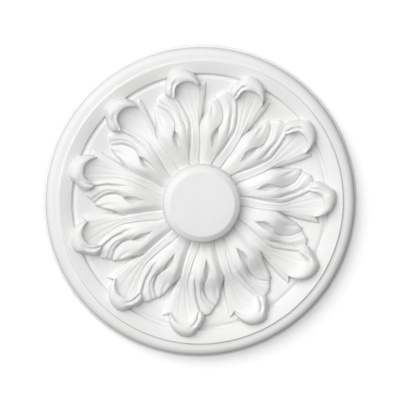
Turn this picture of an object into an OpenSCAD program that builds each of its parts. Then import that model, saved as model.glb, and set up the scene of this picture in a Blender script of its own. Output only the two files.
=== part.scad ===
// Ceiling rose: one casting with a moulded rim, a ring of acanthus leaves whose
// tips curl over into hoods, and a raised boss with a flat disc at the centre.
// The flat back lies in the plane Y = 0 and the carved face looks towards -Y.
// The origin is the centre of the back. Millimetres, +Z up.

/* [Rose] */
// Outer diameter of the rose
rose_d = 400; // [330:5:480]
// Depth from the flat back to the disc on the boss
rose_depth = 44; // [40:1:54]
// Number of leaves in the ring
leaf_count = 11; // [9:1:13]
// Turn of the first leaf from straight up, clockwise positive
first_turn = -11; // [-16:1:16]

/* [Rim] */
// Height of the square outer edge
edge_h = 5; // [3:0.5:7]
// Width of the flat fillet on top of the outer edge
fillet_w = 3; // [2:0.5:4]
// Width and height of the bead
bead_w = 14; // [12:0.5:16]
// Rounding of the bead's outer shoulder
bead_round = 10; // [6:0.5:12]
// Width of the narrow quirk between the bead and the crown
quirk_w = 1.8; // [1:0.2:3]
// Height of the step up from the quirk to the crown of the rim
quirk_step = 3; // [2:0.25:4]
// Width of the broad slope that falls in from the crown
slope_w = 16.5; // [13:0.5:20]
// Drop of the broad slope
slope_drop = 5; // [3:0.5:7]
// Width of the V groove at the foot of the slope
groove_w = 6.7; // [5:0.1:9]
// Depth of the V groove below the ground
groove_depth = 2.5; // [1.5:0.25:3.5]

/* [Ground] */
// Height of the ground above the back, at its outer edge
ground_h = 14; // [13:0.5:15]
// How much lower the dished ground lies around the boss
ground_dish = 5; // [2:0.5:5]
// Width of the ring over which the ground slopes
dish_w = 58; // [45:1:65]

/* [Boss] */
// Diameter of the boss where it rises from the leaves
boss_d = 97; // [80:1:116]
// Width of the sloping shoulder around the flat disc
shoulder_w = 7.5; // [6:0.5:10]
// Drop from the disc to the outer edge of the shoulder
shoulder_drop = 4.5; // [2:0.5:6]
// Radius of the rounded corner outside the shoulder
corner_r = 2.5; // [1.5:0.5:3]

/* [Leaves] */
// Height of the leaf crest above the ground
crest_rise = 18; // [14:0.5:20]
// Height of the fluted channel above the ground at its highest
channel_rise = 14; // [11:0.5:14]
// Depth of one flute in the channel
flute_depth = 1.2; // [0.6:0.2:2]
// Number of flutes in the channel
flute_count = 3; // [2:1:4]
// Depth of the teardrop eye between the two side leaflets
eye_depth = 8; // [4:0.5:9]
// Thickness of a leaflet just inside its tip
tip_thickness = 4; // [3:0.5:6]

/* [Hoods] */
// Width of a curled leaf tip
hood_w = 49; // [42:1:52]
// How far a curled tip reaches out over the rim
hood_reach = 15.5; // [12:0.5:18]
// Height of the crown of a curled tip above the ground
hood_rise = 16; // [13:0.5:18]

/* [Hidden] */
$fn = 96;

// Whole outline
rose_r = rose_d / 2;
pitch = 360 / leaf_count;

// Rim, from the outer edge inwards
bead_top = edge_h + bead_w;
bead_out_r = rose_r - fillet_w;
bead_in_r = bead_out_r - bead_w;
crown_r = bead_in_r - quirk_w;
crown_h = bead_top + quirk_step;
foot_r = crown_r - slope_w;
groove_floor_r = foot_r - groove_w / 4;
field_r = foot_r - groove_w;

// Boss
boss_r = boss_d / 2;
disc_r = boss_r - shoulder_w;
shoulder_h = rose_depth - shoulder_drop;

// Leaf ring: share 0 is the foot of the boss and share 1 the edge of the ground.
// The ring's rows run from the boss to the lip of the hoods, and on to its edge.
leaf_l = field_r - boss_r;
column_count = 22;
leaf_rows = 12;
hood_rows = 5;
inner_share = -0.04;
lip_gap = 0.012;
buried = ground_dish + 1.5;
base_depth = buried + 1.5;

// Hoods
hood_r = hood_w / 2;
hood_centre = field_r + hood_reach - hood_r;
hood_half_angle = asin(hood_r / hood_centre);
side_share = (sqrt(pow(hood_centre, 2) - pow(hood_r, 2)) - boss_r) / leaf_l;
hood_edge = 0.97;
hood_end_rise = 0.55;

// Leaflets, in pitches across and shares of the way out
channel_end = 0.295;
tile_crest = 0.66;
small_half = 0.06;
small_start = 0.6;
small_end = side_share - 0.02;
eye_half = 0.1;
eye_length = 0.12;
eye_share = 0.32;
least_rise = 0.5;

// Smooth step from 0 at a to 1 at b
function ease(a, b, x) =
    let (s = min(1, max(0, (x - a) / (b - a)))) s * s * (3 - 2 * s);

// Last knot that lies at or before x, kept one short of the end
function knot_before(knots, x, i = 0) =
    i < len(knots) - 2 && knots[i + 1][0] <= x ? knot_before(knots, x, i + 1) : i;

// Slope of a smooth line of knots at knot i
function knot_slope(knots, i) =
    let (a = knots[max(0, i - 1)], b = knots[min(len(knots) - 1, i + 1)])
    (b[1] - a[1]) / (b[0] - a[0]);

// Value at x of a smooth line through [place, value] knots
function along(knots, x) =
    let (
        i = knot_before(knots, x),
        a = knots[i],
        b = knots[i + 1],
        w = b[0] - a[0],
        s = min(1, max(0, (x - a[0]) / w)),
        ma = knot_slope(knots, i) * w,
        mb = knot_slope(knots, i + 1) * w
    )
    (1 + 2 * s) * (1 - s) * (1 - s) * a[1] + s * (1 - s) * (1 - s) * ma
        + s * s * (3 - 2 * s) * b[1] - s * s * (1 - s) * mb;

// Lines of the leaf: the share of the way out gives the place across, in pitches.
// The channel runs between its left and right edges and carries the hood.
channel_left = [[0, -0.2], [0.2, 0], [0.36, 0.06], [0.47, 0], [0.7, -0.04], [0.88, -0.15], [1, -0.17]];
channel_right = [[0, 0.24], [0.2, 0.285], [1, channel_end]];
// The outer leaflet lies against the next channel and ends in a tip
outer_left = [[0, -0.76], [0.3, -0.71], [0.65, -0.68], [0.77, -0.6], [0.82, -0.5]];
outer_right = [[0, -0.3], [0.33, -0.345], [0.54, -0.27], [0.7, -0.34], [0.82, -0.5]];
outer_tip = 0.82;
// The inner leaflet comes out from under the outer one and ends further out
inner_left = [[0, -0.45], [0.6, -0.36], [0.76, -0.42], [0.84, -0.36], [0.88, -0.27]];
inner_right = [[0, -0.2], [0.2, 0], [0.36, 0.06], [0.47, -0.03], [0.7, -0.11], [0.88, -0.27]];
inner_tip = 0.88;
// The small leaflet stands beside the channel under the right end of the hood
small_middle = [[0.6, 0.3], [0.85, 0.35], [0.9, 0.37]];
// The lip of the hood: the place across the hood, from -1 to 1, gives the share out
lip_line = [[-1, 0.93], [-0.65, 0.88], [-0.4, 0.94], [0, 0.99], [0.35, 1], [0.7, 0.98], [1, 0.9]];

// Heights along the leaf, as shares of the crest and of the channel
crest_line = [
    [-0.05, 0.2], [0, 0.3], [0.2, 0.8], [0.36, 1],
    [0.46, 0.88], [0.58, 0.53], [0.7, 0.4], [0.9, 0.34]
];
channel_line = [
    [-0.05, 0.2], [0, 0.3], [0.2, 0.78], [0.38, 1],
    [0.54, 0.64], [0.7, 0.43], [0.88, 0.46], [1, 0.66]
];
// Height across the roll of a hood, from its lip to its outer edge
roll_line = [[0, 0.74], [0.2, 0.97], [0.4, 1], [0.6, 0.88], [0.8, 0.6], [1, 0.1]];

// Share across a strip between its left and right edges
function across(x, left, right, t) =
    let (a = along(left, t), b = along(right, t)) (x - a) / max(0.001, b - a);

// Cross-section of a leaflet: a long rise from the left, then a short steep fall
function tile(s) =
    s <= 0 || s >= 1 ? 0
    : s < tile_crest ? sin(90 * s / tile_crest)
    : sqrt(1 - pow((s - tile_crest) / (1 - tile_crest), 2));

// Height of the channel's floor along the leaf
function channel_floor(t) = channel_rise * along(channel_line, t);

// A leaflet rises from just below the channel's floor, and ends at a tip
function leaflet(x, t, left, right, tip) =
    let (
        crest = max(tip_thickness, crest_rise * along(crest_line, t)),
        base = max(0, min(crest, channel_floor(t)) - tip_thickness / 2) * (1 - ease(0.6, 0.75, t)),
        s = across(x, left, right, t)
    )
    t >= tip || s <= 0 || s >= 1 ? 0 : base + (crest - base) * tile(s);

// The side leaflets spring from one ridge at the foot of the boss
function ridge(x, t) =
    let (s = across(x, outer_left, inner_right, t))
    s <= 0 || s >= 1 ? 0
    : crest_rise * along(crest_line, t) * (1 - ease(0.2, 0.45, t)) * pow(sin(180 * s), 0.5);

function channel(x, t) =
    let (s = across(x, channel_left, channel_right, t))
    s <= 0 || s >= 1 ? 0
    : channel_floor(t) * sqrt(1 - pow(2 * s - 1, 8))
        - flute_depth * pow(cos(180 * flute_count * s), 2);

function small_leaflet(x, t) =
    let (d = (x - along(small_middle, t)) / small_half)
    abs(d) >= 1 || t < small_start || t > small_end ? 0
    : (tip_thickness + 2) * sqrt(1 - d * d);

// The eye is a teardrop hollow where the two side leaflets part
function eye(x, t) =
    let (d = norm([(x - along(outer_right, t)) / eye_half, (t - eye_share) / eye_length]))
    d >= 1 ? 0 : eye_depth * sqrt(1 - d * d);

// Height of the leaf above the ground at a place in one pitch
function leaf(x, t) =
    max(
        max(
            ridge(x, t),
            leaflet(x, t, outer_left, outer_right, outer_tip),
            leaflet(x, t, inner_left, inner_right, inner_tip)
        ) - eye(x, t),
        channel(x, t),
        small_leaflet(x + 1, t)
    );

// Height of a hood's roll, lower towards its two ends
function roll(y, q) =
    hood_rise * along(roll_line, q) * (hood_end_rise + (1 - hood_end_rise) * pow(cos(90 * y), 0.7));

// Place across brought into the pitch that ends at a channel's right edge
function one_pitch(p) = p - floor(p - channel_end) - 1;

// Radial share of row j at a place across: rows bend with the lips and outer edges
function row_share(j, x) =
    let (
        y = pitch * x / hood_half_angle,
        a = pitch * x,
        inside = abs(y) < 1,
        far = inside
            ? (hood_centre * cos(a) + sqrt(pow(hood_r, 2) - pow(hood_centre * sin(a), 2)) - boss_r)
                / leaf_l
            : side_share,
        lip = inside ? min(along(lip_line, y), far - 3 * lip_gap) : side_share - 8 * lip_gap,
        floor_end = lip - lip_gap
    )
    j < leaf_rows ? inner_share + (floor_end - inner_share) * j / (leaf_rows - 1)
    : lip + (far - lip) * (j - leaf_rows) / (hood_rows - 1);

// Height of the ring above the ground for row j, kept under the turned body where it's bare
function row_height(j, x) =
    let (y = pitch * x / hood_half_angle, bare = -buried)
    j == leaf_rows + hood_rows - 1 ? bare
    : j >= leaf_rows && abs(y) < hood_edge ? roll(y, (j - leaf_rows) / (hood_rows - 1))
    : let (z = leaf(x, row_share(j, x))) z > least_rise ? z : bare;

// Solid of revolution under the carving: rim, groove, ground and boss
module turned_body() {
    rotate_extrude() {
        polygon([
            [0, 0],
            [rose_r, 0],
            [rose_r, edge_h],
            [bead_out_r, edge_h],
            [bead_out_r, bead_top - bead_round],
            [bead_out_r - bead_round, bead_top],
            [crown_r + quirk_w / 3, bead_top],
            [crown_r, crown_h],
            [foot_r, crown_h - slope_drop],
            [groove_floor_r, ground_h - groove_depth],
            [field_r, ground_h],
            [field_r - dish_w, ground_h - ground_dish],
            [boss_r, ground_h - ground_dish],
            [boss_r, shoulder_h - corner_r],
            [boss_r - corner_r, shoulder_h],
            [disc_r, rose_depth],
            [0, rose_depth]
        ]);
        intersection() {
            translate([bead_out_r - bead_round, bead_top - bead_round]) circle(r = bead_round);
            translate([bead_out_r - bead_round - 1, bead_top - bead_round - 1]) square(bead_round + 2);
        }
        translate([boss_r - corner_r, shoulder_h - corner_r]) circle(r = corner_r);
    }
}

// Closed ring that carries every leaf and hood, with its underside buried
module leaf_ring() {
    columns = column_count * leaf_count;
    rows = leaf_rows + hood_rows;
    top = [
        for (j = [0 : rows - 1], i = [0 : columns - 1])
            let (
                p = i / column_count,
                a = first_turn + pitch * p,
                x = one_pitch(p),
                r = boss_r + leaf_l * row_share(j, x)
            )
            [r * sin(a), r * cos(a), ground_h + row_height(j, x)]
    ];
    last = (rows - 1) * columns;
    under = [
        for (k = [0, last], i = [0 : columns - 1])
            [top[k + i].x, top[k + i].y, ground_h - base_depth]
    ];
    base = len(top);
    faces = [
        for (i = [0 : columns - 1])
            let (n = (i + 1) % columns, low = base + columns)
            each [
                for (j = [0 : rows - 2])
                    let (a = j * columns, b = a + columns)
                    each [[a + i, b + i, b + n], [a + i, b + n, a + n]],
                [i, base + n, base + i],
                [i, n, base + n],
                [last + i, low + n, last + n],
                [last + i, low + i, low + n],
                [base + i, low + n, low + i],
                [base + i, base + n, low + n]
            ]
    ];
    polyhedron(points = concat(top, under), faces = faces);
}

module ceiling_rose() {
    color("white")
        rotate([90, 0, 0]) {
            turned_body();
            leaf_ring();
        }
}

ceiling_rose();
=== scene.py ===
"""A ceiling rose: one rigid foam casting, primed matt white.

The flat back lies in the plane Y = 0 and the carved face looks towards -Y, with +Z up.
A turned body (rim, groove, ground and boss) carries a ring of equal acanthus leaves.
One leaf is drawn on a grid: rows run outwards from the boss, and columns follow the
lines of the carving. A node tree sets the leaf round the boss, and the ring is then
joined to the body. The rose is drawn in millimetres. Meshes, the stage and the
distances in the finish are in metres.
"""
import math

import bpy
import numpy as np
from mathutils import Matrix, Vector


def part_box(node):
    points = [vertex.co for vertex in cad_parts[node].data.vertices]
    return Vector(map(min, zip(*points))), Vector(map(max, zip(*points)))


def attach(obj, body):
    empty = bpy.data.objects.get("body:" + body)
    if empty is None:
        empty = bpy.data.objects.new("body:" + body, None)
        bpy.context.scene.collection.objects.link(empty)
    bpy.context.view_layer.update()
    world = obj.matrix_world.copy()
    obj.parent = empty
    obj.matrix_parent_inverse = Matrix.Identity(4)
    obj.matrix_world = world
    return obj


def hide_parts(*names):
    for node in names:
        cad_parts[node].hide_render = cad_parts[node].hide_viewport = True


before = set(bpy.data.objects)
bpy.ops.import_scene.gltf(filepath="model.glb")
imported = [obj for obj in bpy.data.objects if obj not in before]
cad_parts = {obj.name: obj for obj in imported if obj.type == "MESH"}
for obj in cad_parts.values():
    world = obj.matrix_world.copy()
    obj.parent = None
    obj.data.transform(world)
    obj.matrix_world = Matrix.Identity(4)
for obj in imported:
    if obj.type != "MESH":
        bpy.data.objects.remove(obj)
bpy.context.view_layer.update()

NODE = "ceiling_rose"
MM = 0.001

# ---- sizes of the turned body, from the edge inwards
CAD_LOW, CAD_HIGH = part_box(NODE)
ROSE_R = (CAD_HIGH.x - CAD_LOW.x) / 2 / MM
DEPTH = -CAD_LOW.y / MM
EDGE_H = 5.0
FILLET_W = 3.0
BEAD_W = 14.0
BEAD_ROUND = 10.0
QUIRK_W = 1.8
QUIRK_STEP = 3.0
SLOPE_W = 16.5
SLOPE_DROP = 5.0
GROOVE_W = 6.7
GROOVE_DEPTH = 2.5
GROUND_H = 14.0
# The ground falls towards the boss: quickly to the brow, then gently to its lowest ring
BROW_R = 138.0
BROW_DISH = 3.8
DISH_R = 100.0
GROUND_DISH = 5.0
BOSS_R = 48.5
BOSS_FLARE = 2.0
SHOULDER_W = 7.5
SHOULDER_DROP = 4.5
SHOULDER_EDGE = 2.5
BACK_BEVEL = 0.6
BODY_COLUMNS = 242
BEAD_STEP_DEG = 9
ROUND_POINTS = 4
# No rounding takes more than this share of the side that it sits on
ROUND_LIMIT = 0.45

BEAD_OUT_R = ROSE_R - FILLET_W
BEAD_IN_R = BEAD_OUT_R - BEAD_W
BEAD_TOP = EDGE_H + BEAD_W
CROWN_R = BEAD_IN_R - QUIRK_W
CROWN_H = BEAD_TOP + QUIRK_STEP
FOOT_R = CROWN_R - SLOPE_W
FOOT_H = CROWN_H - SLOPE_DROP
FIELD_R = FOOT_R - GROOVE_W

# ---- the ring of leaves: share 0 is the foot of the boss, share 1 the edge of the ground
LEAVES = 11
FIRST_TURN = math.radians(-10.4)
PITCH = math.radians(360 / LEAVES)
FOOT_GAP = 1.5
LEAF_FOOT_R = BOSS_R + FOOT_GAP
LEAF_L = FIELD_R - LEAF_FOOT_R
# The leaf begins inside the boss, and its free edges and base are sunk in the ground
INNER_SHARE = -0.045
BURIED = 7.0
BASE_DEPTH = 8.5
JOIN_DISTANCE = 0.00002
SHARP_ANGLE = math.radians(50)

HOOD_R = 24.5
HOOD_REACH = 15.5
HOOD_TURN = 0.012
HOOD_CENTRE = FIELD_R + HOOD_REACH - HOOD_R
HOOD_HALF = math.asin(HOOD_R / HOOD_CENTRE)

# ---- lines of the carving: [share of the way out, place across in pitches]
CHANNEL_RIGHT = [[-0.05, 0.232], [0.05, 0.25], [0.2, 0.284], [0.34, 0.289], [0.5, 0.283],
                 [0.63, 0.289], [0.75, 0.296], [1.1, 0.3]]
SLIT = [[-0.05, -0.28], [0.22, -0.34], [0.33, -0.346], [0.447, -0.312], [0.541, -0.272],
        [0.615, -0.293], [0.694, -0.345], [0.762, -0.431], [0.8, -0.48], [0.9, -0.49], [1.1, -0.49]]
TRENCH = [[-0.05, -0.25], [0.2, -0.12], [0.36, -0.06], [0.465, -0.034], [0.56, -0.072],
          [0.642, -0.086], [0.739, -0.131], [0.824, -0.179], [0.9, -0.26], [0.95, -0.277], [1.1, -0.277]]
FIRST_FLUTE = [[-0.05, -0.2], [0.04, -0.171], [0.205, 0], [0.36, 0.077], [0.44, 0.093],
               [0.546, 0.073], [0.64, 0.019], [0.737, -0.035], [0.817, -0.082], [0.9, -0.13],
               [1, -0.165], [1.1, -0.165]]
# Outlines of the leaflets, where they stand free on the ground
OUTER_EDGE = [[0.4, -0.79], [0.48, -0.7], [0.56, -0.61], [0.63, -0.56], [0.69, -0.53], [0.74, -0.498],
              [0.785, -0.455], [0.81, -0.4], [0.9, -0.15]]
INNER_EDGE = [[0.6, -0.9], [0.7, -0.6], [0.77, -0.46], [0.81, -0.41], [0.858, -0.35],
              [0.887, -0.28], [0.9, -0.15]]
SMALL_LEFT = [[0.4, -0.8], [0.86, -0.77], [0.91, -0.72], [0.955, -0.61]]
SMALL_RIGHT = [[0.4, -0.74], [0.5, -0.69], [0.58, -0.655], [0.66, -0.635], [0.74, -0.622], [0.88, -0.606],
               [0.955, -0.604]]
SMALL_CREST = [[0.4, 9], [0.5, 7.2], [0.6, 4.9], [0.7, 3.6], [0.82, 3.2], [0.955, 2.4]]
SMALL_FOOT = 0.4
SMALL_TIP = 0.955
INNER_TIP = 0.897

# ---- heights above the ground: [share of the way out, height]
VALLEY = [[-0.05, 2.2], [0, 3.2], [0.1, 6.2], [0.2, 8.8], [0.3, 10.6], [0.37, 10.6], [0.44, 8.8],
          [0.52, 5.8], [0.6, 3.4], [0.7, 2], [1.1, 1.6]]
OUTER_CREST = [[-0.05, 4], [0, 5.5], [0.1, 10.5], [0.2, 14.3], [0.29, 17], [0.36, 18], [0.43, 17],
               [0.5, 13.2], [0.57, 8.8], [0.64, 5.8], [0.72, 4.2], [0.8, 3.2], [0.86, 2.6]]
OUTER_DROP = [[0.15, 0], [0.33, 1.2], [0.45, 3], [0.56, 3.8], [0.66, 3], [0.75, 2], [0.85, 1]]
SLIT_STEP = [[0.15, 0], [0.3, 0.6], [0.45, 3], [0.53, 4], [0.6, 3.4], [0.7, 2.4], [0.8, 2]]
INNER_CREST = [[-0.05, 4], [0, 5.3], [0.1, 10.2], [0.2, 13.8], [0.3, 16.4], [0.37, 17], [0.44, 15.8],
               [0.51, 12], [0.58, 8.4], [0.66, 5.8], [0.74, 4.6], [0.82, 3.9], [0.89, 3]]
TRENCH_FLOOR = [[-0.05, 3.8], [0, 5], [0.1, 9.6], [0.2, 12.9], [0.3, 15], [0.37, 15], [0.43, 12.6],
                [0.5, 8], [0.56, 4.8], [0.64, 2.4], [0.74, 1.6], [0.84, 1.4], [1.1, 1.6]]
LOBE = [[0.4, 0], [0.5, 3], [0.57, 4], [0.65, 4], [0.75, 3.8], [0.82, 3.4], [0.9, 3], [1.1, 2]]
CHANNEL = [[-0.05, 3], [0, 4.2], [0.1, 7.7], [0.2, 10.6], [0.3, 12.8], [0.37, 13.1], [0.44, 11.6],
           [0.52, 8.4], [0.6, 5.6], [0.68, 4.1], [0.8, 3.9], [0.89, 5.4], [0.96, 8.2], [1.05, 12]]
FIRST_DEPTH = [[-0.05, 1.2], [0.2, 2], [0.4, 2.4], [0.6, 1.8], [0.8, 1.2], [1.1, 0.8]]
EYE_HALF = [[0.2, 0], [0.26, 0.05], [0.33, 0.095], [0.39, 0.075], [0.44, 0.025], [0.46, 0]]
EYE_DEPTH = [[0.2, 0], [0.24, 4], [0.3, 7], [0.36, 8], [0.42, 6], [0.46, 2.5], [0.5, 0]]
EYE_SLOPE = 1.2
LEAST_EYE_HALF = 1e-4

# ---- modelling of the strips between those lines
# Free edges are rounded over this many mm, and spill a little past their outline
EDGE_ROUND = 3.0
SMALL_ROUND = 1.5
EDGE_SPILL = 1.2
# Share of a blade's rise that is round, and the rest is S-shaped
ROUND_RISE = 0.45
# The outer leaflet's crest moves to the left on its way out, and a scoop sways along its blade
OUTER_PEAK = 0.62
PEAK_SHIFT = 0.14
PEAK_SHIFT_SPAN = (0.2, 0.5)
SCOOP_PLACE = 0.62
SCOOP_SWAY = 0.06
SCOOP_WAVES = 9
SCOOP_W = 0.09
SCOOP_DEPTH = 1.7
SCOOP_SPAN = (0.5, 0.64)
# The inner leaflet has a sunk vein that sways in the same way
INNER_PEAK = 0.6
VEIN_PLACE = 0.4
VEIN_SWAY = 0.1
VEIN_WAVES = 12
VEIN_W = 0.1
VEIN_DEPTH = 1.3
VEIN_SPAN = (0.5, 0.62)
SMALL_FALL = 2.5
SMALL_CURVE = 1.5
LEAST_SMALL_W = 1e-3
LOBE_LEAN = 0.75
LOBE_FULLNESS = 0.8
# Flutes of the channel: share across, share of the way out where it begins, depth
FLUTES = [[0.18, 0.45, 0.7], [0.34, 0.1, 1.1], [0.52, 0.5, 0.5], [0.66, 0.0, 0.9], [0.84, 0.5, 0.4]]
FLUTE_HALF = 2.1
FLUTE_START = 0.25
FLUTE_FADE = 0.65
FLUTE_FADE_SPAN = (0.7, 0.95)
FIRST_FLUTE_W = 0.22
# The channel falls to the valley at its right, until the two run together
RIGHT_FALL_W = 0.28
RIGHT_DROP = 0.4
MERGE_SPAN = (0.55, 0.72)

# ---- hood: [place across from -1 to 1, share of the way out or height]
LIP = [[-1, 0.88], [-0.9, 0.845], [-0.75, 0.822], [-0.55, 0.838], [-0.4, 0.885], [-0.22, 0.94],
       [0.065, 0.972], [0.36, 0.98], [0.61, 0.965], [0.83, 0.927], [1, 0.88]]
CROWN = [[-1, 9], [-0.9, 14], [-0.7, 17], [-0.3, 17.5], [0.3, 17], [0.7, 15.5], [0.88, 13], [1, 9]]
LIP_MARGIN = 0.02
UNDERCUT = 4.5
UNDERCUT_SQUARE = 6
CROWN_PLACE = 0.38
LEAST_RISE = 1.0
FLANK_SUNK = 1.0
FLANK_CURVE = 1.15
# The groove that parts the hood's ear from its lip: [mm right of the hood's middle, mm from the axis]
HOOK = [[-12.4, 141], [-11.4, 148.5], [-9, 155], [-4.5, 158.8], [1, 160.2]]
HOOK_DEPTH = 4.2
HOOK_HALF = 1.9
HOOK_FADE = (0.5, 1)
# Columns beside the hood run further out where the small leaflet stands, in pitches across
ROOM_OPENS = (-0.7, -0.65)
ROOM_CLOSES = (-0.58, -0.5)
ROOM_SHARE = 0.995
# Walls lean sideways by this much in mm, and the slit's edge leans further over its middle part
WALL_LEAN = 0.15
SLIT_LEAN = 1.2
SLIT_LEAN_OPENS = (0.4, 0.5)
SLIT_LEAN_CLOSES = (0.76, 0.82)
LEANING_COLUMNS = 5

# ---- finish
PRIMER_FULL = (0.775, 0.775, 0.772, 1)
PRIMER_THIN = (0.745, 0.744, 0.737, 1)
PRIMER_DULL = (0.66, 0.655, 0.64, 1)
FLECK_SHARE = 0.35
FOAM = (0.70, 0.655, 0.55, 1)
FOAM_PALE = (0.77, 0.735, 0.64, 1)
FOAM_PORE = (0.52, 0.465, 0.36, 1)
PORE_SHARE = 0.8
SPRAY_R = 0.17
SPRAY_END_R = 0.2
SPRAY_FULL = 1.6
BACK_SKIN = (-0.0006, -0.0001)
ROUGH_LOW = 0.56
ROUGH_HIGH = 0.7
GLOSS = 0.35
# Sizes of the patterns, as noise scales
COAT_SCALE = 14
FLECK_SCALE = 420
PORE_SCALE = 240
FOAM_SCALE = 11
SPRAY_SCALE = 60
ROUGH_SCALE = 40
PEEL_SCALE = 650
PEEL_STRENGTH = 0.25
PEEL_HEIGHT = 0.00012


def ease(a, b, x):
    """Smooth step from 0 at a to 1 at b."""
    s = np.clip((x - a) / (b - a), 0, 1)
    return s * s * (3 - 2 * s)


def along(knots, x):
    """Value at x of a smooth line through [place, value] knots."""
    k = np.array(knots, float)
    slope = np.gradient(k[:, 1], k[:, 0])
    x = np.clip(x, k[0, 0], k[-1, 0])
    i = np.clip(np.searchsorted(k[:, 0], x, side="right") - 1, 0, len(k) - 2)
    w = k[i + 1, 0] - k[i, 0]
    s = (x - k[i, 0]) / w
    return ((1 + 2 * s) * (1 - s) ** 2 * k[i, 1] + s * (1 - s) ** 2 * slope[i] * w
            + s * s * (3 - 2 * s) * k[i + 1, 1] - s * s * (1 - s) * slope[i + 1] * w)


def radius(t):
    """Distance from the axis in mm at a share of the way out."""
    return LEAF_FOOT_R + LEAF_L * t


def inside(x, t, line, side):
    """Distance in mm of a place from an outline, positive on the given side of it."""
    step = 0.004
    slope = (along(line, t + step) - along(line, t - step)) / (2 * step)
    width = PITCH * radius(t)
    return side * (x - along(line, t)) * width / np.hypot(1, slope * width / LEAF_L)


def edged(top, d, round_w=EDGE_ROUND):
    """Rounds a surface down to the ground at its free edge and on below it."""
    k = np.clip((d + EDGE_SPILL) / (round_w + EDGE_SPILL), 0, 1)
    return -BURIED + (top + BURIED) * np.sqrt(1 - (1 - k) ** 2)


def hump(s, crest):
    """Rise from 0 to 1 at the crest of a blade, soft at its foot."""
    share = np.clip(s / crest, 0, 1)
    return ROUND_RISE * np.sin(np.pi / 2 * share) + (1 - ROUND_RISE) * ease(0, 1, share)


def swaying_line(s, t, place, sway, waves, half, span):
    """Strength from 0 to 1 of a soft line that sways along a blade and begins over a span."""
    middle = place + sway * np.sin(waves * t)
    return np.exp(-(((s - middle) / half) ** 2)) * ease(*span, t)


def eye(x, t):
    """Teardrop hollow where the two leaflets part: a slope on its left, a steep wall on its right."""
    half = np.maximum(along(EYE_HALF, t), LEAST_EYE_HALF)
    d = (x - along(SLIT, t)) / half
    left = np.clip(1 + d, 0, 1) ** EYE_SLOPE
    right = np.sqrt(np.clip(1 - d * d, 0, 1))
    return np.maximum(along(EYE_DEPTH, t), 0) * np.where(d < 0, left, right)


def small_leaflet(x, t):
    """Pointed leaflet beside the right end of the hood, highest along its left half."""
    left, right = along(SMALL_LEFT, t), along(SMALL_RIGHT, t)
    s = (x - left) / np.maximum(right - left, LEAST_SMALL_W)
    top = along(SMALL_CREST, t) - SMALL_FALL * np.clip(2 * s - 1, 0, 1) ** SMALL_CURVE
    sides = np.minimum(inside(x, t, SMALL_LEFT, 1), inside(x, t, SMALL_RIGHT, -1))
    d = np.minimum(sides, (SMALL_TIP - t) * LEAF_L)
    return np.where(t > SMALL_FOOT, edged(top, d, SMALL_ROUND), -BURIED)


def outer_leaflet(s, x, t):
    """Blade from the valley between two leaves to the slit."""
    valley, crest = along(VALLEY, t), along(OUTER_CREST, t)
    peak = OUTER_PEAK - PEAK_SHIFT * ease(*PEAK_SHIFT_SPAN, t)
    top = valley + (crest - valley) * hump(s, peak)
    top = top - along(OUTER_DROP, t) * np.clip((s - peak) / (1 - peak), 0, 1) ** 2
    scoop = swaying_line(s, t, SCOOP_PLACE, SCOOP_SWAY, SCOOP_WAVES, SCOOP_W, SCOOP_SPAN)
    blade = edged(top - SCOOP_DEPTH * scoop, inside(x, t, OUTER_EDGE, 1)) - eye(x, t)
    return np.maximum(blade, small_leaflet(x, t))


def inner_leaflet(s, x, t):
    """Blade from the slit to the trench."""
    crest = along(INNER_CREST, t)
    start = along(OUTER_CREST, t) - along(OUTER_DROP, t) - along(SLIT_STEP, t)
    fall = np.clip((s - INNER_PEAK) / (1 - INNER_PEAK), 0, 1) ** 2
    top = start + (crest - start) * hump(s, INNER_PEAK) - (crest - along(TRENCH_FLOOR, t)) * fall
    vein = swaying_line(s, t, VEIN_PLACE, VEIN_SWAY, VEIN_WAVES, VEIN_W, VEIN_SPAN)
    d = np.minimum(inside(x, t, INNER_EDGE, 1), (INNER_TIP - t) * LEAF_L)
    return edged(top - VEIN_DEPTH * vein, d) - eye(x, t)


def left_lobe(s, x, t):
    """Strip between the trench and the first flute of the channel."""
    start, end = along(TRENCH_FLOOR, t), along(CHANNEL, t) - along(FIRST_DEPTH, t)
    bulge = along(LOBE, t) * np.sin(np.pi * s**LOBE_LEAN) ** LOBE_FULLNESS
    return start + (end - start) * ease(0, 1, s) + bulge


def fluted_channel(s, x, t):
    """Strip from the first flute to the leaf's right edge, which ends under the hood."""
    floor, first = along(CHANNEL, t), along(FIRST_DEPTH, t)
    width = PITCH * radius(t) * (along(CHANNEL_RIGHT, t) - along(FIRST_FLUTE, t))
    merged = ease(*MERGE_SPAN, t)
    right = along(VALLEY, t) * (1 - merged) + (floor - RIGHT_DROP) * merged
    fall = np.clip((s - (1 - RIGHT_FALL_W)) / RIGHT_FALL_W, 0, 1) ** 2
    top = floor - first * (1 - ease(0, FIRST_FLUTE_W, s)) - (floor - right) * fall
    fade = 1 - FLUTE_FADE * ease(*FLUTE_FADE_SPAN, t)
    for place, begin, deep in FLUTES:
        d = (s - place) * width
        top = top - deep * fade * ease(begin, begin + FLUTE_START, t) * np.exp(-((d / FLUTE_HALF) ** 2))
    return top


STRIPS = [  # left line, right line, number of columns, height, closed by a wall on the right
    (lambda t: along(CHANNEL_RIGHT, t) - 1, lambda t: along(SLIT, t), 29, outer_leaflet, True),
    (lambda t: along(SLIT, t), lambda t: along(TRENCH, t), 24, inner_leaflet, False),
    (lambda t: along(TRENCH, t), lambda t: along(FIRST_FLUTE, t), 12, left_lobe, False),
    (lambda t: along(FIRST_FLUTE, t), lambda t: along(CHANNEL_RIGHT, t), 28, fluted_channel, True),
]
LEAF_ROWS = 66
# Rows are moved outwards by this much at most, to lie closer together at the tips
ROW_SHIFT = 0.06
LIP_STEPS = 4
CROWN_STEPS = 5
FLANK_STEPS = 7


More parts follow.
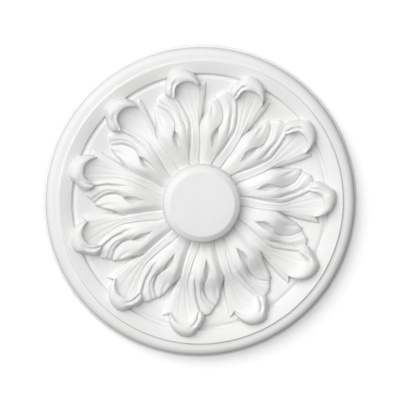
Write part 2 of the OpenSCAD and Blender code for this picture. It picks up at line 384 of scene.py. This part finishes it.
def columns():
    """Strip number and share across it for each column of one pitch."""
    found = [(k, i / n) for k, (_, _, n, _, wall) in enumerate(STRIPS) for i in range(n + wall)]
    return found + [(0, 0.0)]


def hood_place(x):
    """Place across the hood, from -1 at its left end to 1 at its right end."""
    return (x - HOOD_TURN) * PITCH / HOOD_HALF


def hook_groove(u, v):
    """Depth of the curling groove that parts the ear of the hood from its lip."""
    best = np.full(u.shape, np.inf)
    share = np.zeros(u.shape)
    p = np.array(HOOK)
    for i in range(len(p) - 1):
        d = p[i + 1] - p[i]
        s = np.clip(((u - p[i, 0]) * d[0] + (v - p[i, 1]) * d[1]) / (d @ d), 0, 1)
        away = np.hypot(u - p[i, 0] - s * d[0], v - p[i, 1] - s * d[1])
        share = np.where(away < best, (i + s) / (len(p) - 1), share)
        best = np.minimum(away, best)
    return HOOK_DEPTH * np.exp(-((best / HOOK_HALF) ** 2)) * (1 - ease(*HOOK_FADE, share))


def column_ends(first_x, y, hood):
    """Shares of the way out where each column meets the lip, stops under it, and ends."""
    a = np.clip(y, -1, 1) * HOOD_HALF
    far = HOOD_CENTRE * np.cos(a) + np.sqrt(np.maximum(HOOD_R**2 - (HOOD_CENTRE * np.sin(a)) ** 2, 0))
    far = (far - LEAF_FOOT_R) / LEAF_L
    room = ease(*ROOM_OPENS, first_x) * (1 - ease(*ROOM_CLOSES, first_x))
    far = np.where(hood, far, far.min() + (ROOM_SHARE - far.min()) * room)
    lip = np.where(hood, np.minimum(along(LIP, y), far - LIP_MARGIN), far - LIP_MARGIN)
    under = np.where(hood, UNDERCUT * (1 - np.clip(y, -1, 1) ** UNDERCUT_SQUARE), 0.0) / LEAF_L
    return lip, lip + np.minimum(under, (far - lip) / 2), far


def open_leaf(names, floor_end):
    """Rows over the leaf up to the hood: place across, share of the way out and height."""
    place = np.linspace(0, 1, LEAF_ROWS)
    place = place + ROW_SHIFT * np.sin(np.pi * place) ** 2
    t = INNER_SHARE + (floor_end[None, :] - INNER_SHARE) * place[:, None]
    x = np.empty_like(t)
    h = np.empty_like(t)
    for c, (k, s) in enumerate(names):
        left, right, _, height, _ = STRIPS[k]
        x[:, c] = left(t[:, c]) * (1 - s) + right(t[:, c]) * s
        h[:, c] = height(s, x[:, c], t[:, c])
    return x, t, h


def wall_lean(t):
    """Sideways lean in mm of each point, so that the walls between strips aren't upright."""
    lean = np.zeros_like(t)
    edge = STRIPS[0][2]
    amount = WALL_LEAN + SLIT_LEAN * ease(*SLIT_LEAN_OPENS, t) * (1 - ease(*SLIT_LEAN_CLOSES, t))
    # the slit's edge leans out over the inner leaflet, which starts underneath it
    for c in range(edge + 1 - LEANING_COLUMNS, edge + 1):
        lean[:, c] = amount[:, c] * ((c - edge + LEANING_COLUMNS) / LEANING_COLUMNS) ** 2
    lean[:, edge + 1] = -amount[:, edge + 1]
    lean[:, -2] = -WALL_LEAN
    lean[:, -1] = WALL_LEAN
    lean[:, 0] = WALL_LEAN
    return lean


def hood_roll(floor_h, y, lip, floor_end, far):
    """Section of the hood: up under the lip, over the crown and down its outer flank."""
    crown = np.maximum(along(CROWN, y), floor_h + LEAST_RISE)
    past = radius(far) - FOOT_R
    slope_h = np.where(past > 0, FOOT_H - GROUND_H + past * SLOPE_DROP / SLOPE_W, 0.0)
    low = slope_h - FLANK_SUNK
    mid = floor_h + (crown - floor_h) / 2
    peak = lip + (far - lip) * CROWN_PLACE
    t, h = [], []
    for i in range(1, LIP_STEPS + 1):
        f = -math.pi / 2 + math.pi / 2 * i / LIP_STEPS
        t.append(lip + (floor_end - lip) * (1 - math.cos(f)))
        h.append(mid + (mid - floor_h) * math.sin(f))
    for i in range(1, CROWN_STEPS + 1):
        f = math.pi / 2 * i / CROWN_STEPS
        t.append(lip + (peak - lip) * (1 - math.cos(f)))
        h.append(mid + (crown - mid) * math.sin(f))
    for i in range(1, FLANK_STEPS + 1):
        f = math.pi / 2 * i / FLANK_STEPS
        t.append(peak + (far - peak) * math.sin(f))
        h.append(low + (crown - low) * math.cos(f) ** FLANK_CURVE)
    return np.array(t), np.array(h)


def carve_hook(x, t, h):
    """Cuts the hook into the hood's rows, from the front of the lip outwards."""
    angle = (x - HOOD_TURN) * PITCH
    groove = hook_groove(radius(t) * np.sin(angle), radius(t) * np.cos(angle))
    groove[:LIP_STEPS - 1] = 0
    return h - groove


def one_pitch():
    """Points of one leaf as rows of place across in pitches, radius, height and lean."""
    names = columns()
    first_x = np.array([STRIPS[k][0](1.0) * (1 - s) + STRIPS[k][1](1.0) * s for k, s in names])
    y = hood_place(first_x)
    hood = np.abs(y) < 1
    lip, floor_end, far = column_ends(first_x, y, hood)
    x, t, h = open_leaf(names, floor_end)
    lean = wall_lean(t)

    roll_t, roll_h = hood_roll(h[-1], y, lip, floor_end, far)
    count = len(roll_t)
    roll_x = np.repeat(x[-1:], count, 0)
    roll_lean = np.repeat(lean[-1:], count, 0)
    roll_h = carve_hook(roll_x, roll_t, roll_h)
    # beside the hood, the same rows carry the small leaflet or stay below the ground
    bare_t = floor_end + (far - floor_end) * (np.arange(1, count + 1)[:, None] / count)
    bare_h = np.where(first_x < ROOM_CLOSES[1], small_leaflet(roll_x, bare_t), -BURIED)
    roll_t = np.where(hood, roll_t, bare_t)
    roll_h = np.where(hood, roll_h, bare_h)

    # a first and two last rows close the leaf down to its base
    x = np.vstack([x[:1], x, roll_x, roll_x[-1:], roll_x[-1:]])
    t = np.vstack([t[:1], t, roll_t, roll_t[-1:], roll_t[-1:]])
    lean = np.vstack([lean[:1], lean, roll_lean, roll_lean[-1:], roll_lean[-1:]])
    sunk = np.full((1, t.shape[1]), -BURIED)
    base = np.full((1, t.shape[1]), -BASE_DEPTH)
    h = np.vstack([base, np.maximum(h, -BURIED), np.maximum(roll_h, -BURIED), sunk, base])
    x[:, -1] += 1
    return x, radius(t), h, lean


def mesh_object(name, points, faces):
    """A smooth-shaded mesh from points in millimetres."""
    mesh = bpy.data.meshes.new(name)
    mesh.from_pydata((points * MM).tolist(), [], faces)
    mesh.validate()
    mesh.shade_smooth()
    thing = bpy.data.objects.new(name, mesh)
    bpy.context.scene.collection.objects.link(thing)
    return thing


def polar(angle, r, h):
    """Points at an angle from +Z, a distance from the axis and a height above the back."""
    return np.stack(np.broadcast_arrays(r * np.sin(angle), -h, r * np.cos(angle)), -1)


def make_leaf():
    """One pitch of the ring, closed below and open at its two sides."""
    x, r, h, lean = one_pitch()
    points = polar(x * PITCH + lean / r, r, GROUND_H + h)
    grid = np.arange(h.size).reshape(h.shape)
    after = np.roll(grid, -1, axis=0)
    quads = np.stack([grid[:, :-1], grid[:, 1:], after[:, 1:], after[:, :-1]], -1).reshape(-1, 4)
    return mesh_object("leaf", points.reshape(-1, 3), quads.tolist())


def rounded(corners):
    """Profile through corners (radius, height, rounding), each rounded by a curve."""
    out = []
    for i, (r, h, f) in enumerate(corners):
        p = np.array([r, h])
        if f == 0:
            out.append(p)
            continue
        a = np.array(corners[i - 1][:2]) - p
        b = np.array(corners[i + 1][:2]) - p
        la, lb = np.hypot(*a), np.hypot(*b)
        cut = min(f, la * ROUND_LIMIT, lb * ROUND_LIMIT)
        start, end = p + a / la * cut, p + b / lb * cut
        for s in np.linspace(0, 1, ROUND_POINTS):
            out.append((1 - s) ** 2 * start + 2 * s * (1 - s) * p + s * s * end)
    return out


def body_profile():
    """Half section of the turned body, from the centre of the back round to the centre of the disc."""
    bead_r, bead_h = BEAD_OUT_R - BEAD_ROUND, BEAD_TOP - BEAD_ROUND
    arc = [math.radians(d) for d in range(0, 91, BEAD_STEP_DEG)]
    bead = [(bead_r + BEAD_ROUND * math.cos(a), bead_h + BEAD_ROUND * math.sin(a), 0) for a in arc]
    brow_h, dish_h = GROUND_H - BROW_DISH, GROUND_H - GROUND_DISH
    shoulder_h = DEPTH - SHOULDER_DROP
    corners = [
        # back and outer edge
        (0, 0, 0), (ROSE_R - BACK_BEVEL, 0, 0), (ROSE_R, BACK_BEVEL, 0),
        (ROSE_R, EDGE_H, 0.8), (BEAD_OUT_R, EDGE_H, 0.5),
        # bead, quirk and crown
        *bead, (BEAD_IN_R, BEAD_TOP, 0.9),
        (CROWN_R + 0.8, BEAD_TOP + 0.1, 0.5), (CROWN_R, CROWN_H, 1.4),
        # slope, groove and ground
        (FOOT_R, FOOT_H, 1.2), (FOOT_R - GROOVE_W / 4, GROUND_H - GROOVE_DEPTH, 1.0),
        (FIELD_R, GROUND_H, 1.6), (BROW_R, brow_h, 6.0), (DISH_R, dish_h, 0),
        # boss, its shoulder and the disc
        (BOSS_R + BOSS_FLARE, dish_h, 0), (BOSS_R + 0.5, shoulder_h - SHOULDER_EDGE, 3.0),
        (BOSS_R - 1.0, shoulder_h, 2.0), (BOSS_R - SHOULDER_W, DEPTH, 1.0), (0, DEPTH, 0),
    ]
    return np.array(rounded(corners))


def make_body():
    """Turned body: the profile's points set round the axis, with a fan at each centre."""
    ring = body_profile()[1:-1]
    turn = np.arange(BODY_COLUMNS) * 2 * math.pi / BODY_COLUMNS
    points = polar(turn[None, :], ring[:, :1], ring[:, 1:]).reshape(-1, 3)
    centres = np.array([[0, 0, 0], [0, -DEPTH, 0]])
    grid = np.arange(len(points)).reshape(len(ring), BODY_COLUMNS)
    after = np.roll(grid, -1, axis=1)
    faces = np.stack([grid[:-1], grid[1:], after[1:], after[:-1]], -1).reshape(-1, 4).tolist()
    back, front = grid.size, grid.size + 1
    faces += [[back, int(a), int(b)] for a, b in zip(grid[0], after[0])]
    faces += [[front, int(b), int(a)] for a, b in zip(grid[-1], after[-1])]
    return mesh_object("turned_body", np.vstack([points, centres]), faces)


def leaf_ring_tree():
    """Node tree that sets one leaf round the boss and joins the copies at their sides."""
    tree = bpy.data.node_groups.new("Ring of leaves", "GeometryNodeTree")
    tree.is_modifier = True
    face = tree.interface
    sockets = {"Geometry": "Geometry", "Count": "Int", "First turn": "Float",
               "Join distance": "Float", "Finish": "Material"}
    for name, kind in sockets.items():
        face.new_socket(name, in_out="INPUT", socket_type="NodeSocket" + kind)
    face.new_socket("Geometry", in_out="OUTPUT", socket_type="NodeSocketGeometry")
    node, link = tree.nodes.new, tree.links.new
    given = node("NodeGroupInput")
    result = node("NodeGroupOutput")
    spots = node("GeometryNodePoints")
    index = node("GeometryNodeInputIndex")
    step = node("ShaderNodeMath")
    step.operation = "DIVIDE"
    step.inputs[0].default_value = 2 * math.pi
    turn = node("ShaderNodeMath")
    turn.operation = "MULTIPLY_ADD"
    axis = node("ShaderNodeCombineXYZ")
    rotation = node("FunctionNodeEulerToRotation")
    copies = node("GeometryNodeInstanceOnPoints")
    solid = node("GeometryNodeRealizeInstances")
    merge = node("GeometryNodeMergeByDistance")
    finish = node("GeometryNodeSetMaterial")
    link(given.outputs["Count"], spots.inputs["Count"])
    link(given.outputs["Count"], step.inputs[1])
    link(index.outputs[0], turn.inputs[0])
    link(step.outputs[0], turn.inputs[1])
    link(given.outputs["First turn"], turn.inputs[2])
    link(turn.outputs[0], axis.inputs["Y"])
    link(axis.outputs[0], rotation.inputs[0])
    link(spots.outputs[0], copies.inputs["Points"])
    link(given.outputs["Geometry"], copies.inputs["Instance"])
    link(rotation.outputs[0], copies.inputs["Rotation"])
    link(copies.outputs[0], solid.inputs[0])
    link(solid.outputs[0], merge.inputs["Geometry"])
    link(given.outputs["Join distance"], merge.inputs["Distance"])
    link(merge.outputs[0], finish.inputs["Geometry"])
    link(given.outputs["Finish"], finish.inputs["Material"])
    link(finish.outputs[0], result.inputs[0])
    return tree


def apply_modifiers(thing):
    """Replaces an object's mesh by its evaluated one, with no modifiers left."""
    bpy.context.view_layer.update()
    graph = bpy.context.evaluated_depsgraph_get()
    mesh = bpy.data.meshes.new_from_object(thing.evaluated_get(graph))
    thing.modifiers.clear()
    thing.data = mesh
    return thing


def object_place(tree):
    """Object coordinates, from one node that all patterns of a material share."""
    place = tree.nodes.get("place") or tree.nodes.new("ShaderNodeTexCoord")
    place.name = "place"
    return place.outputs["Object"]


def noise(tree, scale, detail):
    """Soft noise over the object coordinates."""
    made = tree.nodes.new("ShaderNodeTexNoise")
    made.inputs["Scale"].default_value = scale
    made.inputs["Detail"].default_value = detail
    tree.links.new(object_place(tree), made.inputs["Vector"])
    return made.outputs["Fac"]


def between(tree, value, low, high, start, end):
    """Value's range from low to high, spread from start to end and held there."""
    made = tree.nodes.new("ShaderNodeMapRange")
    made.inputs["From Min"].default_value = low
    made.inputs["From Max"].default_value = high
    made.inputs["To Min"].default_value = start
    made.inputs["To Max"].default_value = end
    tree.links.new(value, made.inputs["Value"])
    return made.outputs["Result"]


def mixed(tree, share, first, second):
    """Colour mixed from two, each a plain colour or a socket."""
    made = tree.nodes.new("ShaderNodeMix")
    made.data_type = "RGBA"
    tree.links.new(share, made.inputs["Factor"])
    for socket, value in ((made.inputs["A"], first), (made.inputs["B"], second)):
        if isinstance(value, tuple):
            socket.default_value = value
        else:
            tree.links.new(value, socket)
    return made.outputs["Result"]


def white_coat(tree):
    """Thicker and thinner primer in broad soft patches, with small dull flecks."""
    patches = between(tree, noise(tree, COAT_SCALE, 3), 0.35, 0.65, 0, 1)
    coat = mixed(tree, patches, PRIMER_THIN, PRIMER_FULL)
    flecks = between(tree, noise(tree, FLECK_SCALE, 2), 0.66, 0.74, 0, FLECK_SHARE)
    return mixed(tree, flecks, coat, PRIMER_DULL)


def bare_foam(tree):
    """Cream foam with its open pores, and primer that was sprayed in past its edge."""
    patches = between(tree, noise(tree, FOAM_SCALE, 4), 0.38, 0.62, 0, 1)
    pores = between(tree, noise(tree, PORE_SCALE, 3), 0.54, 0.68, 0, PORE_SHARE)
    foam = mixed(tree, pores, mixed(tree, patches, FOAM, FOAM_PALE), FOAM_PORE)
    away = tree.nodes.new("ShaderNodeVectorMath")
    away.operation = "LENGTH"
    tree.links.new(object_place(tree), away.inputs[0])
    sprayed = tree.nodes.new("ShaderNodeMath")
    sprayed.operation = "MULTIPLY"
    reach = between(tree, away.outputs["Value"], SPRAY_R, SPRAY_END_R, 0, SPRAY_FULL)
    tree.links.new(reach, sprayed.inputs[0])
    tree.links.new(between(tree, noise(tree, SPRAY_SCALE, 4), 0.3, 0.7, 0.2, 1), sprayed.inputs[1])
    return mixed(tree, sprayed.outputs[0], foam, PRIMER_THIN)


def white_primer():
    """Matt white primer with a faint orange peel, and bare cream foam over the flat back."""
    mat = bpy.data.materials.new("white primer on rigid foam")
    mat.use_nodes = True
    tree = mat.node_tree
    shader = tree.nodes["Principled BSDF"]
    shader.inputs["Specular IOR Level"].default_value = GLOSS
    apart = tree.nodes.new("ShaderNodeSeparateXYZ")
    tree.links.new(object_place(tree), apart.inputs[0])
    # the foam shows in the plane of the back only
    back = between(tree, apart.outputs["Y"], *BACK_SKIN, 0, 1)
    colour = mixed(tree, back, white_coat(tree), bare_foam(tree))
    tree.links.new(colour, shader.inputs["Base Color"])
    rough = between(tree, noise(tree, ROUGH_SCALE, 3), 0.3, 0.7, ROUGH_LOW, ROUGH_HIGH)
    tree.links.new(rough, shader.inputs["Roughness"])
    peel = tree.nodes.new("ShaderNodeBump")
    peel.inputs["Strength"].default_value = PEEL_STRENGTH
    peel.inputs["Distance"].default_value = PEEL_HEIGHT
    tree.links.new(noise(tree, PEEL_SCALE, 2), peel.inputs["Height"])
    tree.links.new(peel.outputs["Normal"], shader.inputs["Normal"])
    return mat


def make_ring(material):
    """Copies of the leaf round the boss, joined into one closed ring."""
    ring = make_leaf()
    tree = leaf_ring_tree()
    modifier = ring.modifiers.new("Ring", "NODES")
    modifier.node_group = tree
    values = {
        "Count": LEAVES,
        "First turn": FIRST_TURN,
        "Join distance": JOIN_DISTANCE,
        "Finish": material,
    }
    for item in tree.interface.items_tree:
        if item.in_out == "INPUT" and item.name in values:
            modifier[item.identifier] = values[item.name]
    return apply_modifiers(ring)


def make_rose():
    """The ring of leaves united with the turned body, as one closed mesh."""
    material = white_primer()
    ring = make_ring(material)
    body = make_body()
    body.data.materials.append(material)
    union = ring.modifiers.new("Join", "BOOLEAN")
    union.operation = "UNION"
    union.solver = "MANIFOLD"
    union.object = body
    apply_modifiers(ring)
    bpy.data.objects.remove(body)
    ring.name = "carved_rose"
    ring.data.name = "carved_rose"
    ring.data.set_sharp_from_angle(angle=SHARP_ANGLE)
    return ring


rose = make_rose()
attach(rose, "root")
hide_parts(NODE)

# ---- stage, light and camera, in metres
KEY_LIFT = math.radians(54.0)
KEY_GLOW = 2.9
KEY_SPREAD = math.radians(60.0)
FILL_GLOW = 0.31
REAR_GLOW = 2.6
REAR_SPREAD = math.radians(8)
SURROUND_GLOW = 0.66
WALL_PALE = 0.98
FLOOR_PALE = 0.94
WALL_Y = 0.003
WALL_HALF = 1.2
FLOOR_DROP = 1.0
FLOOR_HALF_X = 4
FLOOR_HALF_Y = 6
SURROUND_AWAY = 7
SURROUND_HALF = 8
SURROUND_LOW = -4
SURROUND_HIGH = 6
CAM_AWAY = 6.0
CAM_LEFT = math.radians(4.0)
CAM_UP = math.radians(6.5)
AIM = (-0.0013, -0.02, 0.0032)
FRAME_W = 0.508
SENSOR_W = 36


def plain_finish(name, value):
    """Matt grey of one value, for the stage."""
    mat = bpy.data.materials.new(name)
    mat.use_nodes = True
    shader = mat.node_tree.nodes["Principled BSDF"]
    shader.inputs["Base Color"].default_value = (value, value, value, 1)
    shader.inputs["Roughness"].default_value = 1.0
    shader.inputs["Specular IOR Level"].default_value = 0.0
    return mat


def glowing_finish(name, strength):
    """Plain white glow, for the stage."""
    mat = plain_finish(name, 0)
    shader = mat.node_tree.nodes["Principled BSDF"]
    shader.inputs["Emission Color"].default_value = (1, 1, 1, 1)
    shader.inputs["Emission Strength"].default_value = strength
    return mat


def one_sided(mat):
    """Lets a backdrop be seen only from its front."""
    tree = mat.node_tree
    shader, out = tree.nodes["Principled BSDF"], tree.nodes["Material Output"]
    facing = tree.nodes.new("ShaderNodeNewGeometry")
    clear = tree.nodes.new("ShaderNodeBsdfTransparent")
    mix = tree.nodes.new("ShaderNodeMixShader")
    tree.links.new(facing.outputs["Backfacing"], mix.inputs[0])
    tree.links.new(shader.outputs[0], mix.inputs[1])
    tree.links.new(clear.outputs[0], mix.inputs[2])
    tree.links.new(mix.outputs[0], out.inputs["Surface"])
    return mat


def sheet_of(name, corners, mat):
    """One flat sheet of the stage, seen by the camera but lighting and shading nothing."""
    mesh = bpy.data.meshes.new(name)
    mesh.from_pydata(corners, [], [(0, 1, 2, 3)])
    mesh.materials.append(mat)
    thing = bpy.data.objects.new(name, mesh)
    bpy.context.scene.collection.objects.link(thing)
    thing.visible_diffuse = False
    thing.visible_glossy = False
    thing.visible_shadow = False
    return thing


def upright(start, end, low, high):
    """Corners of an upright sheet over the line from start to end."""
    return [(*start, low), (*end, low), (*end, high), (*start, high)]


def make_stage():
    """Pale wall behind the rose, floor below it and a pale glow all round, for the other views."""
    low = CAD_LOW.z - FLOOR_DROP
    wall = upright((-WALL_HALF, WALL_Y), (WALL_HALF, WALL_Y), low, WALL_HALF)
    sheet_of("backdrop", wall, one_sided(plain_finish("pale wall", WALL_PALE)))
    x, y = FLOOR_HALF_X, FLOOR_HALF_Y
    floor = [(-x, -y, low), (x, -y, low), (x, y, low), (-x, y, low)]
    sheet_of("floor", floor, plain_finish("pale floor", FLOOR_PALE))
    glow = glowing_finish("pale surround", SURROUND_GLOW)
    for side, x, y in (("left", -1, 0), ("right", 1, 0), ("near", 0, -1), ("far", 0, 1)):
        x, y = x * SURROUND_AWAY, y * SURROUND_AWAY
        along_x, along_y = (0, SURROUND_HALF) if x else (SURROUND_HALF, 0)
        start, end = (x - along_x, y - along_y), (x + along_x, y + along_y)
        sheet_of(f"{side} surround", upright(start, end, SURROUND_LOW, SURROUND_HIGH), glow)


def sun(name, glow, spread, aim):
    """A distant lamp that shines along a direction."""
    lamp = bpy.data.lights.new(name, "SUN")
    lamp.energy = glow
    lamp.angle = spread
    thing = bpy.data.objects.new(name, lamp)
    thing.rotation_euler = aim.to_track_quat("-Z", "Y").to_euler()
    bpy.context.scene.collection.objects.link(thing)


def make_lights():
    """A soft dome from the upper left, an even fill, and a lamp for the back."""
    world = bpy.data.worlds.new("studio")
    bpy.context.scene.world = world
    world.use_nodes = True
    world.node_tree.nodes["Background"].inputs["Color"].default_value = (1, 1, 1, 1)
    world.node_tree.nodes["Background"].inputs["Strength"].default_value = FILL_GLOW
    # the soft dome stands in front of the rose, above it and to its left
    side = math.cos(KEY_LIFT) * math.sqrt(0.5)
    sun("soft dome", KEY_GLOW, KEY_SPREAD, Vector((side, math.sin(KEY_LIFT), -side)))
    sun("rear light", REAR_GLOW, REAR_SPREAD, Vector((0, -1, 0)))


def make_camera():
    """A long lens, a little to the left of the rose and above it."""
    data = bpy.data.cameras.new("camera")
    data.sensor_width = SENSOR_W
    data.lens = SENSOR_W * CAM_AWAY / FRAME_W
    thing = bpy.data.objects.new("camera", data)
    bpy.context.scene.collection.objects.link(thing)
    level = math.cos(CAM_UP)
    back = Vector((-math.sin(CAM_LEFT) * level, -math.cos(CAM_LEFT) * level, math.sin(CAM_UP)))
    thing.location = Vector(AIM) + back * CAM_AWAY
    thing.rotation_euler = (-back).to_track_quat("-Z", "Y").to_euler()
    bpy.context.scene.camera = thing


make_stage()
make_lights()
make_camera()
bpy.context.scene.view_settings.view_transform = "Standard"
